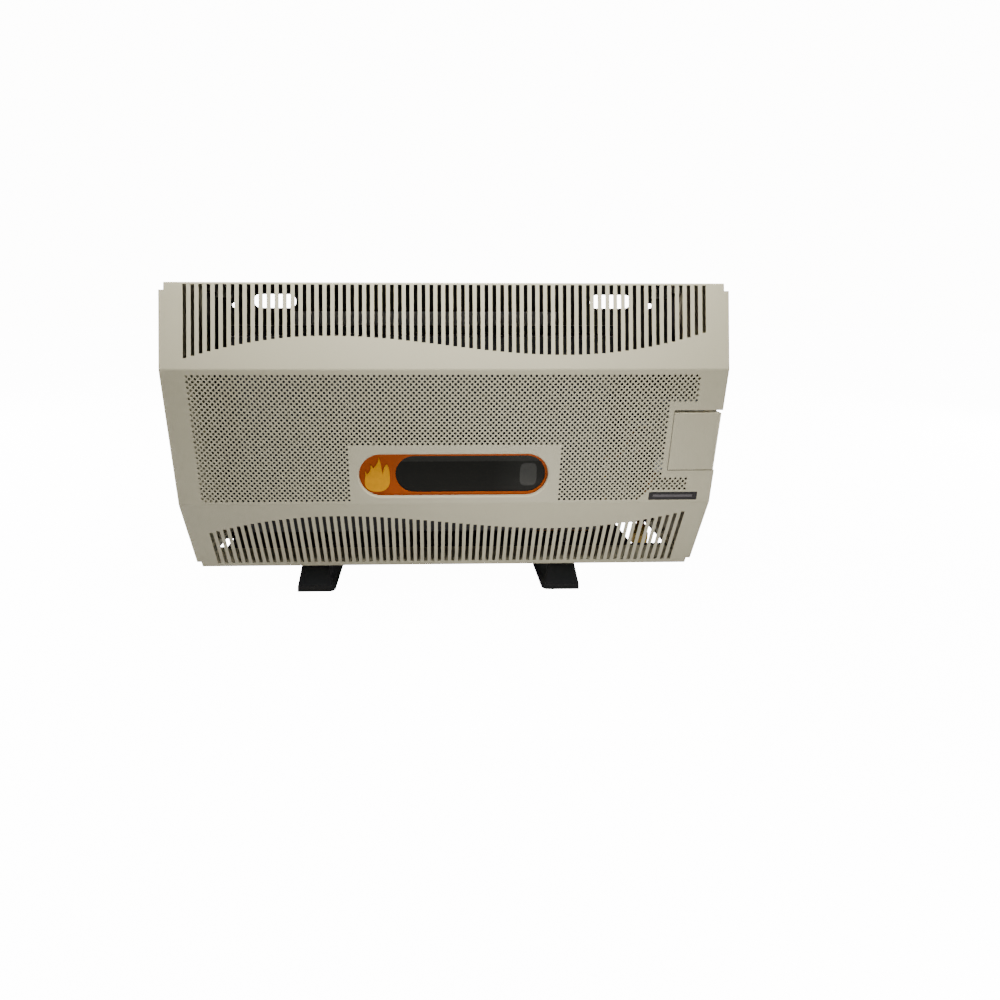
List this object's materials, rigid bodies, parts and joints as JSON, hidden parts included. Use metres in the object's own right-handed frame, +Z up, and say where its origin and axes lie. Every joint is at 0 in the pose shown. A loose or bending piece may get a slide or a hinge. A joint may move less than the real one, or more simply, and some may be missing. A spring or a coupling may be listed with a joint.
{
  "type": "wall mounted gas heater",
  "caption": "Low wide balanced-flue gas wall heater: folded slotted cover with capsule flame window, control flap, sealed chamber, burner, gas valve and flue.",
  "frame": {"origin": "on the floor under the middle of the casing, at the feet soles", "axes": "+X right as seen from the front, +Y towards the wall, +Z up"},
  "size_m": [0.7254, 0.2, 0.4242],
  "materials": {
    "cover_paint": "satin textured cream paint",
    "orange_enamel": "semi-gloss burnt orange",
    "flame_print": "semi-gloss amber print",
    "dark_glass": "dark tinted gloss",
    "clear_glass": "heat resistant clear",
    "badge_black": "dark anodised with bright rim",
    "zinc_plate": "galvanised sheet",
    "bare_steel": "plain steel",
    "black_enamel": "matt black enamel",
    "aluminised_steel": "aluminised sheet",
    "stainless": "stainless",
    "brass": "turned",
    "copper": "drawn copper tube",
    "cast_alloy": "die cast",
    "black_plastic": "satin moulded",
    "red_plastic": "satin moulded",
    "ceramic": "glazed insulator",
    "fibre_seal": "pressed fibre",
    "silicone_lead": "silicone sleeved lead"
  },
  "bodies": {
    "root": {"front_cover": "cover_paint", "window_bezel": "orange_enamel", "flame_emblem": "flame_print", "window_glass": "dark_glass", "sight_glass": "clear_glass", "badge_plate": "badge_black", "back_frame": "zinc_plate", "cover_hook_left": "zinc_plate", "cover_hook_right": "zinc_plate", "foot_screw_left": "zinc_plate", "foot_screw_right": "zinc_plate", "cover_screw_left": "zinc_plate", "cover_screw_right": "zinc_plate", "door_hinge_pin": "zinc_plate", "door_hinge_bracket_left": "zinc_plate", "door_hinge_bracket_right": "zinc_plate", "control_bracket": "zinc_plate", "chamber_rail_left": "zinc_plate", "chamber_rail_right": "zinc_plate", "sight_glass_frame": "bare_steel", "burner_saddle_left": "bare_steel", "burner_saddle_right": "bare_steel", "pilot_bracket": "bare_steel", "thermostat_clip": "bare_steel", "chamber_front": "black_enamel", "chamber_rear": "black_enamel", "dial_plate": "aluminised_steel", "air_duct": "aluminised_steel", "exhaust_pipe": "aluminised_steel", "air_collar": "aluminised_steel", "heat_shield": "aluminised_steel", "burner_supply_pipe": "aluminised_steel", "pilot_pipe": "aluminised_steel", "window_strap_left": "stainless", "window_strap_right": "stainless", "main_burner": "stainless", "chamber_baffle": "stainless", "injector": "brass", "pilot_burner": "brass", "gas_inlet_nut": "brass", "gas_inlet_pipe": "copper", "thermocouple": "copper", "thermocouple_lead": "copper", "thermostat_bulb": "copper", "gas_valve": "cast_alloy", "foot_left": "black_plastic", "foot_right": "black_plastic", "igniter_nut": "black_plastic", "piezo_igniter": "black_plastic", "ignition_electrode": "ceramic", "chamber_gasket": "fibre_seal", "sight_glass_gasket": "fibre_seal", "injector_gasket": "fibre_seal", "flue_gasket": "fibre_seal", "ignition_lead": "silicone_lead"},
    "door": {"control_door": "cover_paint"},
    "plunger": {"valve_plunger": "stainless"},
    "knob": {"control_knob": "black_plastic", "valve_spindle": "brass"},
    "igniter": {"igniter_button": "red_plastic"}
  },
  "joints": [
    {"name": "door_hinge", "type": "hinge", "parent": "root", "child": "door", "pos_m": [0.328, -0.096, 0.1911], "axis": [1, 0, 0], "range_deg": [0, 90]},
    {"name": "knob_push", "type": "slide", "parent": "root", "child": "plunger", "axis": [0, 1, 0], "range_m": [0, 0.005], "stiffness_N_per_m": 400, "springref_m": -0.01},
    {"name": "knob_turn", "type": "hinge", "parent": "plunger", "child": "knob", "pos_m": [0.325, -0.08, 0.238], "axis": [0, -1, 0], "range_deg": [0, 240]},
    {"name": "igniter_press", "type": "slide", "parent": "root", "child": "igniter", "axis": [0, 1, 0], "range_m": [0, 0.006], "stiffness_N_per_m": 800, "springref_m": -0.006}
  ]
}
